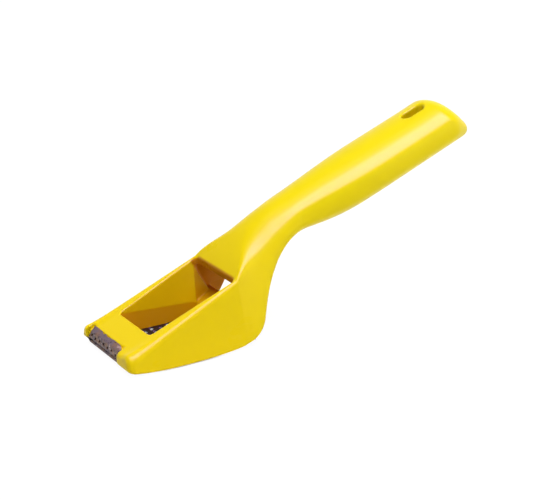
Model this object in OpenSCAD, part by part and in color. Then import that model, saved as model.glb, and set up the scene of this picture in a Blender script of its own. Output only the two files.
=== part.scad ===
// One-handed rasp plane, worked on the pull stroke. The profiles are drawn with the nose at x = 0
// and the nose's lower edge at z = 0, the handle towards +x. Each sub-part is then placed so that
// the tooth tips stand on z = 0 and the middle of the length is at x = 0. Millimetres.

/* [Head] */
// Width over the two cheeks at the sole
sole_w = 44.6; // [42:0.2:52]
// Radius of the convex sole, seen from the side
sole_r = 172; // [120:1:300]
// Distance from the nose to the lowest point of the sole
sole_low_x = 29; // [20:0.5:34]
// Height of the nose face
nose_h = 4.4; // [3:0.1:6]
// Radius round the edges of the nose face
nose_r = 1.2; // [0.4:0.1:1.6]
// Length of the deck, from the nose to the throat
deck_l = 12.8; // [9:0.1:16]
// Rise of the deck and of the cheeks' rims, in degrees
rim_slope = 23.5; // [20:0.1:26]
// Length of the open throat along the sole
throat_l = 38; // [32:0.5:42]
// Width over the rims at the nose
nose_w = 42; // [39:0.2:46]
// Width over the rims where the roof starts
rim_w = 36; // [33:0.2:40]
// Radius of the shoulder along each rim
shoulder_r = 2.6; // [1:0.1:3.5]
// Radius of the cheeks' lower edges
edge_r = 0.5; // [0.2:0.1:1]
// Radius of the heel corner
heel_r = 8.5; // [5:0.1:11]
// Length from the nose to the upright part of the heel
heel_x = 63.6; // [62:0.1:70]

/* [Throat] */
// Width of the throat at the ledge
ledge_w = 25.4; // [22:0.2:28]
// Height of the ledge at the deck
ledge_front_z = 9.4; // [8:0.1:10]
// Height of the ledge at the heel bar
ledge_rear_z = 6.9; // [6:0.1:8]
// Lean of the throat wall above the ledge, in mm outwards for each mm up
wall_lean = 0.128; // [0.05:0.001:0.16]
// Width of the window under the ledge, where it opens onto the blade
window_w = 38; // [30:0.5:39]
// Thickness of the cheeks beside the hollow under the roof
cheek_t = 3; // [2:0.1:4]
// Thickness of the roof at its front edge
roof_t = 3.4; // [2.5:0.1:5]

/* [Heel bar] */
// Length of the heel bar along the sole
bar_l = 8.4; // [8:0.1:10]
// Height of the bar's top edge behind its ramp
bar_h = 11.2; // [10.5:0.1:13]
// Thickness of the plastic between the nut and the bar's rear face
bar_wall = 2.2; // [1.6:0.1:3]
// Height of the screw above the nose's lower edge
screw_z = 4.6; // [4.4:0.1:5.4]

/* [Handle] */
// Distance from the nose to the waist
waist_x = 87; // [82:0.5:92]
// Height of the top of the waist
waist_z = 51; // [46:0.5:56]
// Thickness of the waist, straight down
waist_t = 14.4; // [12:0.2:17]
// Width of the waist
waist_w = 24.4; // [21:0.2:28]
// Slope of the handle, in degrees
grip_slope = 20.8; // [17:0.1:24]
// Steepening of the top line behind the roof, over the rim's slope
roof_bend = 19; // [12:0.5:24]
// Steepening of the top line in front of the waist, over the handle's slope
waist_bend = 7; // [4:0.5:10]
// Distance from the waist to the straight stretch of the grip
grip_run = 31; // [26:0.5:36]
// Distance from the heel's rear edge back to the underside of the neck
neck_back = 8.4; // [6:0.1:10]
// Width of the grip
grip_w = 28.8; // [25:0.2:34]
// Thickness of the grip, straight down
grip_t = 21.3; // [18:0.2:25]
// Distance from the nose to the end of the handle
handle_x = 174; // [160:1:190]
// Width of the flat end of the handle
end_w = 13; // [10:0.5:22]
// Length over which the handle rounds off to its end
end_l = 22; // [14:0.5:30]

/* [Hang slot] */
// Length of the slot
slot_l = 11; // [9:0.5:18]
// Width of the slot
slot_w = 4.6; // [4.4:0.1:7]
// Distance from the end of the handle to the middle of the slot
slot_from_end = 22; // [18:0.5:35]

/* [Blade] */
// Width of the blade
blade_w = 41.3; // [38:0.1:41.5]
// Thickness of the blade's sheet
blade_t = 0.6; // [0.4:0.05:0.8]
// Distance between rows of teeth
row_pitch = 3.8; // [3.4:0.1:4.4]
// Distance between teeth in a row
tooth_pitch = 4; // [3.6:0.1:4.8]
// Number of rows of teeth
rows = 13; // [6:1:13]
// Height of the teeth below the sheet
tooth_h = 0.7; // [0.4:0.05:1]
// Length of a tooth's ramp
tooth_l = 1.5; // [1:0.1:1.6]
// Width of a tooth and of its hole
tooth_w = 2.4; // [1.6:0.1:2.8]
// Length of a tooth's hole
hole_l = 1.6; // [1:0.1:1.8]
// Width of the hook that grips the nose
hook_w = 24.2; // [16:0.2:30]
// Distance from the middle of the blade to the middle of the hook
hook_y = 4.2; // [0:0.1:5]
// Length of the hook on top of the deck
hook_l = 3.4; // [2:0.1:5]
// Width of the flange that the screw clamps
flange_w = 16; // [12:0.5:20]
// Height of the flange's top edge
flange_z = 8.6; // [8:0.1:9.4]

/* [Fastener] */
// Diameter of the screw's shank
screw_d = 4; // [3:0.1:4.4]
// Length of the shank under the head
shank_l = 7; // [6:0.5:8]
// Diameter of the screw's head
head_d = 8; // [7:0.1:9]
// Height of the screw's head
head_h = 2.8; // [2:0.1:3.4]
// Width of the head's slot
drive_w = 1.1; // [0.8:0.1:1.4]
// Depth of the head's slot
drive_h = 1.3; // [0.8:0.1:1.6]
// Outer diameter of the washer
washer_d = 9; // [8:0.1:10]
// Thickness of the washer
washer_t = 0.8; // [0.5:0.1:1]
// Width across the square nut
nut_w = 7; // [6:0.1:7.4]
// Thickness of the square nut
nut_t = 2.2; // [1.8:0.1:3]

/* [Fits] */
// Clearance round the blade in its seat
blade_gap = 0.15; // [0.1:0.05:0.3]
// Clearance of a clamped face from its neighbour
clamp_gap = 0.12; // [0.08:0.01:0.2]
// Clearance of the shank in the nut and the washer, on the radius
shank_gap = 0.06; // [0.03:0.01:0.1]
// Clearance of the shank in the bar and the flange, on the radius
hole_gap = 0.25; // [0.15:0.05:0.4]
// Clearance of the nut in its slot
nut_gap = 0.1; // [0.05:0.05:0.2]
// Clearance that lets the blade turn on its hook
turn_gap = 0.5; // [0.3:0.1:0.8]
// Set-back of the heel bar's foot, past which the flange swings
bar_relief = 0.3; // [0.2:0.05:0.6]

/* [Hidden] */
yellow = [0.98, 0.83, 0.06];
bare_steel = [0.42, 0.39, 0.43];
plated = [0.66, 0.66, 0.68];

// sole and heel
sole_cz = sole_r * cos(asin(sole_low_x / sole_r));
function sole_z(x) = sole_cz - sqrt(sole_r * sole_r - pow(x - sole_low_x, 2));
roof_x = deck_l + throat_l;
bar_x0 = roof_x - 1.8;
bar_x1 = bar_x0 + bar_l;
function rim_z(x) = nose_h + x * tan(rim_slope);
// the heel's arc touches the sole's arc inside and the upright line at heel_x
heel_cx = heel_x - heel_r;
heel_cz = sole_cz - sqrt(pow(sole_r - heel_r, 2) - pow(heel_cx - sole_low_x, 2));
heel_a0 = -90 + asin((heel_cx - sole_low_x) / (sole_r - heel_r));
heel_x0 = heel_cx + heel_r * cos(heel_a0);

// handle: the waist's top falls off forwards at waist_rise, the neck rises from the roof at roof_rise
grip_rise = tan(grip_slope);
waist_rise = tan(grip_slope + waist_bend);
roof_rise = tan(rim_slope + roof_bend);
under_z = waist_z - waist_t;
grip_x = waist_x + grip_run;
grip_z = waist_z + grip_run * (grip_rise + waist_rise) / 2;
neck = [heel_x + neck_back, under_z - 8.4];
function grip_top(x) = grip_z + (x - grip_x) * grip_rise;
end_x0 = handle_x - 28;
end_under_x = handle_x - 14;
tip_z = grip_top(handle_x) - grip_t * 0.76;

// curves
function mix(a, b, t) = a + (b - a) * t;
function ease(t) = let (u = min(max(t, 0), 1)) u * u * (3 - 2 * u);
function bezier(p, n, from = 0) = [for (i = [from : n]) let (t = i / n, s = 1 - t)
    s * s * s * p[0] + 3 * s * s * t * p[1] + 3 * s * t * t * p[2] + t * t * t * p[3]];
function line(a, b, n, from = 0) = [for (i = [from : n]) mix(a, b, i / n)];
function arc(cx, cz, r, a0, a1, n, from = 0) = [for (i = [from : n])
    let (a = mix(a0, a1, i / n)) [cx + r * cos(a), cz + r * sin(a)]];

// outline of the top, from the nose to the tip of the handle, and of the underside, point for point
head_n = 7;
neck_n = 14;
grip_n = 10;
end_n = 9;
rz = rim_z(roof_x);
top_line = concat(
    line([nose_r, rim_z(nose_r)], [roof_x, rz], head_n),
    bezier([[roof_x, rz], [roof_x + 12, rz + 12 * roof_rise],
            [waist_x - 12, waist_z - 12 * waist_rise], [waist_x, waist_z]], neck_n, 1),
    bezier([[waist_x, waist_z], [waist_x + 10, waist_z + 10 * waist_rise],
            [grip_x - 10, grip_z - 10 * grip_rise], [grip_x, grip_z]], grip_n - 4, 1),
    line([grip_x, grip_z], [end_x0, grip_top(end_x0)], 4, 1),
    bezier([[end_x0, grip_top(end_x0)], [end_x0 + 12, grip_top(end_x0 + 12)],
            [handle_x - 5, tip_z + 11.6], [handle_x, tip_z]], end_n, 1));
under_line = concat(
    [for (i = [0 : head_n]) let (x = mix(nose_r, heel_x0, i / head_n)) [x, sole_z(x)]],
    arc(heel_cx, heel_cz, heel_r, heel_a0, 0, 4, 1),
    bezier([[heel_x, heel_cz], [heel_x + 0.3, under_z - 22], neck - [4.4, 6.6], neck], 4, 1),
    bezier([neck, neck + [3, 4.5], [waist_x - 6, under_z - 0.2],
            [waist_x + 5, under_z + 0.8]], neck_n - 8, 1),
    bezier([[waist_x + 5, under_z + 0.8], [waist_x + 13, under_z + 1.5],
            [grip_x - 9, grip_top(grip_x - 9) - grip_t], [grip_x + 4, grip_top(grip_x + 4) - grip_t]],
        grip_n - 4, 1),
    line([grip_x + 4, grip_top(grip_x + 4) - grip_t],
        [end_under_x, grip_top(end_under_x) - grip_t], 4, 1),
    bezier([[end_under_x, grip_top(end_under_x) - grip_t],
            [handle_x - 7, grip_top(handle_x - 7) - grip_t],
            [handle_x - 1.4, tip_z - 4.6], [handle_x, tip_z]], end_n, 1));

// the screw's place and the whole model's place
seat_x = bar_x1 + clamp_gap + blade_t + clamp_gap;
lift = sole_r - sole_cz + tooth_h;
mid_x = max(top_line[len(top_line) - 2][0], under_line[len(under_line) - 2][0]) / 2;
module place() translate([-mid_x, 0, lift]) children();

// half widths along the top and along the underside
function top_half(x) = x < roof_x ? mix(nose_w, rim_w, pow(max(x, 0) / roof_x, 0.6)) / 2
    : x < waist_x ? mix(rim_w, waist_w, ease(pow((x - roof_x) / (waist_x - roof_x), 0.75))) / 2
    : mix(waist_w, grip_w, ease((x - waist_x) / (grip_x + 18 - waist_x))) / 2;
function under_half(p) = p[0] > waist_x ? top_half(p[0])
    : mix(sole_w, waist_w, pow(min(max(p[1], 0) / under_z, 1), 1.15)) / 2;
function end_scale(x) = let (u = min(max(1 - (handle_x - x) / end_l, 0), 1), s = end_w / grip_w)
    mix(1, s, 1 - sqrt(1 - pow(u, 3.2)));

// one cross-section: the side leans from the underside to the top, with rounded corners
corner_n = 7;
function corner(n, e) = [for (i = [0 : n]) let (a = 90 * i / n)
    [1 - pow(sin(a), 2 / e), 1 - pow(cos(a), 2 / e)]];
function section(i) = let (
        t = top_line[i], u = under_line[i], h = norm(t - u),
        r = ease((t[0] - roof_x) / (waist_x - roof_x)),
        s = end_scale(t[0]), wt = top_half(t[0]) * s, wu = under_half(u) * s,
        rt = [mix(shoulder_r, wt, r), mix(min(shoulder_r, h * 0.5), h * 0.5, r)],
        ru = [mix(edge_r, wu, r), mix(edge_r, h * 0.5, r)],
        e = mix(2, 2.5, r), c = corner(corner_n, e))
    concat(
        [for (q = c) let (z = ru[1] * q[1] / h) [mix(wu, wt, z) - ru[0] * q[0], z]],
        [for (j = [corner_n : -1 : 0]) let (q = c[j], z = 1 - rt[1] * q[1] / h)
            [mix(wu, wt, z) - rt[0] * q[0], z]]);
function ring(i) = let (s = section(i), t = top_line[i], u = under_line[i], n = len(s))
    concat([for (q = s) [mix(u[0], t[0], q[1]), q[0], mix(u[1], t[1], q[1])]],
           [for (j = [n - 1 : -1 : 0]) let (q = s[j])
               [mix(u[0], t[0], q[1]), -q[0], mix(u[1], t[1], q[1])]]);
// the nose face is the first ring drawn in by the nose radius
function nose_ring(a) = let (first = ring(0), d = nose_r * (1 - sin(a)), zm = nose_h / 2)
    [for (p = first) [nose_r * (1 - cos(a)), p[1] - sign(p[1]) * min(d, abs(p[1])),
        p[2] + (p[2] > zm ? -d : d * edge_r / nose_r)]];

module skin(rings) {
    n = len(rings[0]);
    last = len(rings) - 1;
    polyhedron(
        points = [for (r = rings) for (p = r) p],
        faces = concat(
            [[for (j = [n - 1 : -1 : 0]) j]],
            [[for (j = [0 : n - 1]) last * n + j]],
            [for (i = [0 : last - 1]) for (j = [0 : n - 1]) for (half = [0, 1])
                let (a = i * n + j, b = i * n + (j + 1) % n, c = a + n, d = b + n)
                half == 0 ? [a, b, c] : [b, d, c]]));
}

// a straight extrusion along y of an outline drawn in x and z
module across(w, y = 0) translate([0, y + w / 2, 0]) rotate([90, 0, 0])
    linear_extrude(height = w) children();

// a block whose plan widens evenly from its foot to its top
module wedge_block(x0, x1, foot, top) polyhedron(
    points = [
        [x0, -foot[0], foot[1]], [x1, -foot[2], foot[3]], [x1, foot[2], foot[3]], [x0, foot[0], foot[1]],
        [x0, -top[0], top[1]], [x1, -top[2], top[3]], [x1, top[2], top[3]], [x0, top[0], top[1]]],
    faces = [[0, 1, 2, 3], [7, 6, 5, 4], [0, 4, 5, 1], [1, 5, 6, 2], [2, 6, 7, 3], [3, 7, 4, 0]]);

// throat above the ledge, which reaches down into the window
module upper_throat() {
    over = rim_z(roof_x) + 4;
    half = ledge_w / 2;
    foot = ledge_rear_z - 4;
    intersection() {
        wedge_block(deck_l, roof_x + bar_l,
            [half - wall_lean * (ledge_front_z - foot), foot, half - wall_lean * (ledge_rear_z - foot), foot],
            [half + wall_lean * (over - ledge_front_z), over, half + wall_lean * (over - ledge_rear_z), over]);
        across(sole_w) polygon([
            [deck_l, foot], [bar_x0, foot], [bar_x0, ledge_rear_z], [bar_x1 - 1.8, bar_h],
            [roof_x + 3, rim_z(roof_x) - roof_t], [roof_x, rim_z(roof_x) - roof_t],
            [roof_x, over], [deck_l, over]]);
    }
}

// window under the ledge, which widens down to the blade
module window() {
    half = ledge_w / 2;
    wedge_block(deck_l, bar_x0, [window_w / 2, -6, window_w / 2, -6],
        [half, ledge_front_z, half, ledge_rear_z]);
}

// hollow behind the heel bar and under the roof, open to the rear
module rear_hollow() {
    foot = sole_w / 2 - cheek_t;
    roof_half = rim_w / 2 - cheek_t;
    intersection() {
        wedge_block(bar_x0 - 4, heel_x + 16, [foot, -6, foot, -6],
            [roof_half, rim_z(roof_x), roof_half - 1.6, rim_z(roof_x) + 6]);
        across(sole_w) polygon([
            [bar_x1 - 1.8, bar_h], [bar_x1, bar_h - 0.6], [bar_x1, screw_z],
            [bar_x1 - 3 * bar_relief, screw_z - 12], [heel_x + 14, screw_z - 12],
            [heel_x + 14, rim_z(roof_x) + 4], [heel_x, rim_z(roof_x) - roof_t + 2.4],
            [bar_x0 - 0.8, rim_z(roof_x) - roof_t - 0.4]]);
    }
}

// seat of the blade: the sole is set back by its thickness, further at the nose, where the blade
// rises as it turns, and the nose is notched for the hook
module blade_seat() {
    across(blade_w + 2 * blade_gap) polygon(concat(
        [[-1, blade_t + blade_gap + turn_gap]],
        [for (i = [0 : 16]) let (x = mix(nose_r + hook_l, bar_x1 + 6, i / 16))
            [x, sole_z(x) + blade_t + blade_gap]],
        [[bar_x1 + 6, -6], [-1, -6]]));
    deep = blade_t + turn_gap;
    end_x = nose_r + hook_l + blade_gap;
    across(hook_w + 2 * blade_gap, hook_y) polygon([
        [-1, -1], [deep + 1.4, -1], [deep, blade_t + 1.2], [deep, rim_z(deep) - blade_t - 0.2],
        [end_x, rim_z(end_x) - blade_t - 0.2], [end_x, rim_z(end_x) + 2], [-1, rim_z(end_x) + 2]]);
}

// hang slot, straight through the handle
module hang_slot() {
    x = handle_x - slot_from_end;
    half = (slot_l - slot_w) / 2;
    z = grip_top(x) - 1.5 * grip_t;
    for (s = [-1, 1]) translate([x + s * half, 0, z])
        cylinder(d = slot_w, h = 2 * grip_t, $fn = 40);
    translate([x - half, -slot_w / 2, z]) cube([2 * half, slot_w, 2 * grip_t]);
}

// nut slot, open under the blade, and the screw's hole through the heel bar
module fastener_cuts() {
    x1 = bar_x1 - bar_wall;
    x0 = x1 - nut_t - 2 * nut_gap;
    half = nut_w / 2 + nut_gap;
    translate([x0, -half, -6]) cube([x1 - x0, 2 * half, 6 + screw_z + half]);
    translate([bar_x0 - 1, 0, screw_z]) rotate([0, 90, 0])
        cylinder(r = screw_d / 2 + hole_gap, h = bar_l + 2, $fn = 48);
}

module body() place() color(yellow) difference() {
    skin(concat([for (a = [0, 45]) nose_ring(a)], [for (i = [0 : len(top_line) - 2]) ring(i)]));
    upper_throat();
    window();
    rear_hollow();
    blade_seat();
    hang_slot();
    fastener_cuts();
}

// blade: angle of a row about the sole's centre, and the sheet's outline from the side
function row_angle(i) = -asin((sole_low_x - 5.2) / sole_r) + i * row_pitch / sole_r * 180 / PI;
module at_row(i) translate([sole_low_x, 0, sole_cz]) rotate([0, -row_angle(i), 0])
    translate([0, 0, -sole_r]) children();
function sheet_edge(r) = [for (i = [-1 : rows]) let (a = row_angle(i - 0.5))
    [sole_low_x + r * sin(a), sole_cz - r * cos(a)]];
blade_end = bar_x1 + clamp_gap + blade_t;
module sheet() {
    low = sheet_edge(sole_r);
    high = sheet_edge(sole_r - blade_t);
    across(blade_w) polygon(concat([[0.2, sole_z(0.2)]], low, [[blade_end, sole_z(blade_end)]],
        [[blade_end, sole_z(blade_end) + blade_t]], [for (i = [len(high) - 1 : -1 : 0]) high[i]],
        [[0.2, sole_z(0.2) + blade_t]]));
}
module teeth_row(i, w) {
    count = floor((blade_w - 3 - (i % 2) * tooth_pitch) / tooth_pitch);
    for (j = [0 : count - 1]) translate([0, (j - (count - 1) / 2) * tooth_pitch, 0])
        across(w) children();
}
module hook() {
    x = nose_r + hook_l;
    t = blade_t;
    across(hook_w, hook_y) polygon([
        [0.9, sole_z(0.9)], [0.25, 0.25], [0, 0.9], [0, rim_z(0) - 0.8], [0.35, rim_z(0.35) - 0.1],
        [x, rim_z(x)], [x, rim_z(x) - t], [t + 0.3, rim_z(t + 0.3) - t - 0.1], [t, rim_z(t) - t - 0.5],
        [t, t + 0.7], [t + 0.25, t + 0.2], [t + 0.9, sole_z(0.9) + t]]);
}
module flange() {
    across(flange_w) polygon([
        [blade_end - blade_t, sole_z(blade_end)], [blade_end, sole_z(blade_end)],
        [blade_end, flange_z], [blade_end - blade_t, flange_z]]);
}
module blade() place() color(bare_steel) difference() {
    union() {
        sheet();
        for (i = [0 : rows - 1]) at_row(i) teeth_row(i, tooth_w)
            polygon([[-tooth_l, 0.1], [0.2, -tooth_h], [0.1, 0.1]]);
        hook();
        flange();
    }
    for (i = [0 : rows - 1]) at_row(i) teeth_row(i, tooth_w - 0.2)
        polygon([[0.2 - blade_t / 2, blade_t + 1], [0.2, -0.3], [0.2, -1], [hole_l, -1], [hole_l, blade_t + 1]]);
    // the perforations run on into the hook and leave its edge ragged
    for (j = [0 : 5]) translate([nose_r + hook_l, hook_y + (j - 2.4) * tooth_pitch, rim_z(nose_r + hook_l) - 3])
        cylinder(d = hole_l, h = 6, $fn = 6);
    // slot of the flange, open at its top edge so that the blade swings clear of the loosened screw
    translate([blade_end - 2, -screw_d / 2 - hole_gap, screw_z]) cube([4, screw_d + 2 * hole_gap, 10]);
    translate([blade_end - 2, 0, screw_z]) rotate([0, 90, 0])
        cylinder(r = screw_d / 2 + hole_gap, h = 4, $fn = 48);
}

// the fastener lies along x, its head to the rear
module along_screw(x) translate([x, 0, screw_z]) rotate([0, 90, 0]) children();
module washer() place() color(plated) along_screw(seat_x) difference() {
    cylinder(d = washer_d, h = washer_t, $fn = 64);
    translate([0, 0, -1]) cylinder(r = screw_d / 2 + shank_gap, h = washer_t + 2, $fn = 48);
}
module screw() place() color(plated) along_screw(seat_x + washer_t + clamp_gap) difference() {
    union() {
        translate([0, 0, -shank_l]) cylinder(d = screw_d, h = shank_l + 0.2, $fn = 48);
        intersection() {
            cylinder(d = head_d, h = head_h, $fn = 64);
            translate([0, 0, head_h - head_d]) sphere(r = head_d, $fn = 96);
        }
    }
    translate([-head_d, -drive_w / 2, head_h - drive_h]) cube([2 * head_d, drive_w, drive_h + 1]);
}
module nut() place() color(plated) along_screw(bar_x1 - bar_wall - nut_gap - nut_t) difference() {
    translate([-nut_w / 2, -nut_w / 2, 0]) cube([nut_w, nut_w, nut_t]);
    translate([0, 0, -1]) cylinder(r = screw_d / 2 + shank_gap, h = nut_t + 2, $fn = 48);
}

body();
blade();
screw();
washer();
nut();
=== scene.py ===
import math
import bpy
import bmesh
import numpy as np
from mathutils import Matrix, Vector


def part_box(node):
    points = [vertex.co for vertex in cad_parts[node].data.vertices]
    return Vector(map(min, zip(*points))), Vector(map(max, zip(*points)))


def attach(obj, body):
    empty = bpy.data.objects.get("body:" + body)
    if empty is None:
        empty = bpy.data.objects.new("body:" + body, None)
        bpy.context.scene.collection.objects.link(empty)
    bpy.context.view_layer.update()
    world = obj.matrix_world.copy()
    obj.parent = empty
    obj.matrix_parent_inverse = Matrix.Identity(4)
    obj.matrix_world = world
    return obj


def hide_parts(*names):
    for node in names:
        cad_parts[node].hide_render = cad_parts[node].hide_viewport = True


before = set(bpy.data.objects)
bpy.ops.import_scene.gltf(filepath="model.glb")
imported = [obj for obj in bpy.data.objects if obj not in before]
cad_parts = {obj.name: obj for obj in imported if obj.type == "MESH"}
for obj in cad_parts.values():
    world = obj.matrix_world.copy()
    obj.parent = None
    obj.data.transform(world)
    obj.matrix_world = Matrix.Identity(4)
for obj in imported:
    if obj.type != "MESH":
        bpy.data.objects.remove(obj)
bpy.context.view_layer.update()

# Shapes are worked out in millimetres from the middle of the nose's lower edge, then moved to the frame.
mm = 0.001
sole = {
    "radius": 172.0,      # the sole and the blade lie on this arc, seen from the side
    "lowX": 29.0,         # distance from the nose to the arc's lowest place
    "width": 44.6,        # of the head at its foot
    "toothHeight": 0.7,
}
soleMid = math.sqrt(sole["radius"]**2 - sole["lowX"]**2)
origin = np.array([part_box("body")[0][0], 0.0, (sole["radius"] - soleMid + sole["toothHeight"])*mm])


def toFrame(points):
    return np.asarray(points, float)*mm + origin


def soleZ(x):
    # height of the sole's arc above the nose's lower edge
    return soleMid - np.sqrt(sole["radius"]**2 - (x - sole["lowX"])**2)


# Materials

class Signal:
    # One socket of a node tree. Sums and products of signals add their Math nodes.
    def __init__(self, finish, socket):
        self.finish, self.socket = finish, socket

    def maths(self, operation, *others):
        return self.finish.add("ShaderNodeMath", {"operation": operation}, dict(enumerate([self, *others])))

    def __add__(self, other): return self.maths("ADD", other)
    def __radd__(self, other): return self.maths("ADD", other)
    def __sub__(self, other): return self.maths("SUBTRACT", other)
    def __rsub__(self, other): return (self*-1.0) + other
    def __mul__(self, other): return self.maths("MULTIPLY", other)
    def __rmul__(self, other): return self.maths("MULTIPLY", other)

    def between(self, low, high):
        # 0 below low, 1 above high, and a smooth step from one to the other
        return self.finish.add("ShaderNodeMapRange", {"interpolation_type": "SMOOTHSTEP"},
                               {"Value": self, "From Min": low, "From Max": high})


class Finish:
    # A material or a world with its shader, and the nodes that feed it
    def __init__(self, owner, shader, fixed):
        owner.use_nodes = True
        self.owner, self.tree = owner, owner.node_tree
        self.shader = self.tree.nodes[shader]
        self.link(self.shader, fixed)

    def add(self, kind, settings=None, inputs=None, output=0):
        node = self.tree.nodes.new(kind)
        for name, value in (settings or {}).items():
            setattr(node, name, value)
        self.link(node, inputs or {})
        return Signal(self, node.outputs[output])

    def link(self, node, inputs):
        # a signal is linked to its socket, and a value is set on it, a colour with full alpha
        for name, value in inputs.items():
            socket = node.inputs[name]
            if isinstance(value, Signal):
                self.tree.links.new(value.socket, socket)
            elif isinstance(value, tuple) and socket.type == "RGBA":
                socket.default_value = (*value, 1.0)
            else:
                socket.default_value = value

    def place(self, scale=(1.0, 1.0, 1.0)):
        # the object's own coordinates, stretched by a scale
        spot = self.add("ShaderNodeTexCoord", output=3)
        return self.add("ShaderNodeMapping", None, {"Vector": spot, "Scale": scale})

    def alongX(self):
        return self.add("ShaderNodeSeparateXYZ", None, {"Vector": self.place()})

    def noise(self, scale, detail, stretch=(1.0, 1.0, 1.0)):
        return self.add("ShaderNodeTexNoise", None, {
            "Vector": self.place(stretch), "Scale": scale, "Detail": detail, "Roughness": 0.5})

    def attribute(self, name):
        return self.add("ShaderNodeAttribute", {"attribute_name": name}, output=2)

    def blend(self, factor, first, second):
        return self.add("ShaderNodeMix", {"data_type": "RGBA"}, {0: factor, 6: first, 7: second}, output=2)

    def bump(self, height, distance):
        return self.add("ShaderNodeBump", None, {"Height": height, "Distance": distance, "Strength": 1.0})

    def shown(self):
        # 1 for what the camera sees directly, mirrored or through something clear, and 0 for soft light
        rays = [self.add("ShaderNodeLightPath", output=name)
                for name in ("Is Camera Ray", "Is Glossy Ray", "Is Transmission Ray")]
        return rays[0].maths("MAXIMUM", rays[1]).maths("MAXIMUM", rays[2])


def principled(name, **fixed):
    return Finish(bpy.data.materials.new(name), "Principled BSDF", fixed)


# In the looks, a noise has a scale per metre and its detail, limits are where a mask starts and ends, and a
# depth is a bump's in metres.
print("materials")
plasticLook = {
    "amber": (0.94, 0.685, 0.002),    # towards the nose
    "lemon": (0.94, 0.74, 0.002),     # towards the handle's end
    "turns": (-0.06, 0.02),           # where along x amber turns to lemon
    "deep": (0.60, 0.185, 0.002),     # painted shade, mixed in most in the recess
    "through": (0.20, 0.085, 0.0),    # painted glow, standing in for light that comes through the walls beside the throat
    "gloss": 0.10, "roughness": 0.28, "depth": 0.00001,
    "cloud": (38.0, 2.0), "cloudTint": 0.3, "cloudRough": 0.06,
    "scuff": (700.0, 4.0, (0.3, 1.0, 1.0)), "scuffLimits": (0.5, 0.7), "scuffRough": 0.04, "scuffBump": 0.6,
    "grain": (2600.0, 2.0),
}


def yellowPlastic(look):
    # yellow from nose to end turns a little greener, clouded as a moulding is; painted shade darkens it in the
    # hollow and a painted glow lights the walls beside the throat, both read from the body's attributes
    finish = principled("yellow plastic", **{"Specular IOR Level": look["gloss"], "Emission Strength": 1.0})
    cloud = finish.noise(*look["cloud"])
    grain = finish.noise(*look["grain"])
    scuff = finish.noise(*look["scuff"])
    along = finish.alongX().between(*look["turns"])
    shade, through = finish.attribute("shade"), finish.attribute("through")
    skin = finish.blend(along + look["cloudTint"]*(cloud - 0.5), look["amber"], look["lemon"])
    scuffed = scuff.between(*look["scuffLimits"])
    finish.link(finish.shader, {
        # the painted glow feeds the emission, and the painted shade darkens the base colour
        "Emission Color": finish.blend(through, (0.0, 0.0, 0.0), look["through"]),
        "Base Color": finish.blend(shade, skin, look["deep"]),
        "Roughness": look["roughness"] + look["cloudRough"]*(cloud - 0.5) + look["scuffRough"]*scuffed,
        "Normal": finish.bump(grain + look["scuffBump"]*scuff, look["depth"]),
    })
    return finish.owner


steelLook = {
    "metallic": 0.55, "gloss": 0.25, "roughness": 0.45, "depth": 0.00006,
    "bluedAndShaded": (0.034, 0.030, 0.024),      # the sheet: blued steel, darkened further with painted shade under the body
    "hookToShadedSheet": (-0.0835, -0.0815),    # where along x the worn hook turns to the darker sheet under the body
    "purple": (0.150, 0.112, 0.125),     # the worn hook
    "brown": (0.210, 0.125, 0.085),      # heat marks on it
    "paintedGlint": (0.46, 0.34, 0.30),        # painted glints, scattered like rubbed spots
    "black": (0.022, 0.015, 0.014),      # scale
    "marks": (330.0, 3.0), "markLimits": (0.44, 0.6),
    "spots": (620.0, 4.0), "spotLimits": (0.55, 0.68), "spotRough": 0.16,
    "glintRubs": (480.0, 3.0, (1.0, 0.8, 1.2)), "glintRubLimits": (0.62, 0.74),
    "rolled": (1500.0, 3.0, (0.15, 1.0, 1.0)), "rolledRough": 0.1,
}


def bluedSteel(look):
    # dull blued steel: brown heat marks, painted glints, black scale, fine rolling marks along x; the sheet
    # darker with painted shade
    finish = principled("blued steel", **{"Metallic": look["metallic"], "Specular IOR Level": look["gloss"]})
    marks = finish.noise(*look["marks"])
    spots = finish.noise(*look["spots"])
    glintRubs = finish.noise(*look["glintRubs"])
    rolled = finish.noise(*look["rolled"])
    dark = spots.between(*look["spotLimits"])
    colour = finish.blend(marks.between(*look["markLimits"]), look["purple"], look["brown"])
    # painted glints: bright spots scattered like rubbed ones
    colour = finish.blend(glintRubs.between(*look["glintRubLimits"]), colour, look["paintedGlint"])
    # the sheet under the body is darker, partly blued steel and partly painted shade
    colour = finish.blend(finish.alongX().between(*look["hookToShadedSheet"]), colour, look["bluedAndShaded"])
    finish.link(finish.shader, {
        "Base Color": finish.blend(dark, colour, look["black"]),
        "Roughness": look["roughness"] + look["spotRough"]*dark + look["rolledRough"]*(rolled - 0.5),
        "Normal": finish.bump(rolled + spots, look["depth"]),
    })
    return finish.owner


platedLook = {
    "zinc": (0.62, 0.61, 0.60), "dull": (0.36, 0.35, 0.33), "roughness": 0.30, "depth": 0.00002,
    "cloud": (420.0, 4.0), "dullLimits": (0.5, 0.75), "roughLimits": (0.45, 0.7), "cloudRough": 0.15,
    "turned": (2400.0, 2.0, (6.0, 1.0, 1.0)),
}


def platedSteel(look):
    # zinc with dull clouds and the fine marks of turning round x
    finish = principled("plated steel", Metallic=1.0)
    cloud = finish.noise(*look["cloud"])
    turned = finish.noise(*look["turned"])
    finish.link(finish.shader, {
        "Base Color": finish.blend(cloud.between(*look["dullLimits"]), look["zinc"], look["dull"]),
        "Roughness": look["roughness"] + look["cloudRough"]*cloud.between(*look["roughLimits"]),
        "Normal": finish.bump(turned, look["depth"]),
    })
    return finish.owner


plastic = yellowPlastic(plasticLook)
steel = bluedSteel(steelLook)
plated = platedSteel(platedLook)


# Curves and fields

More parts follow.
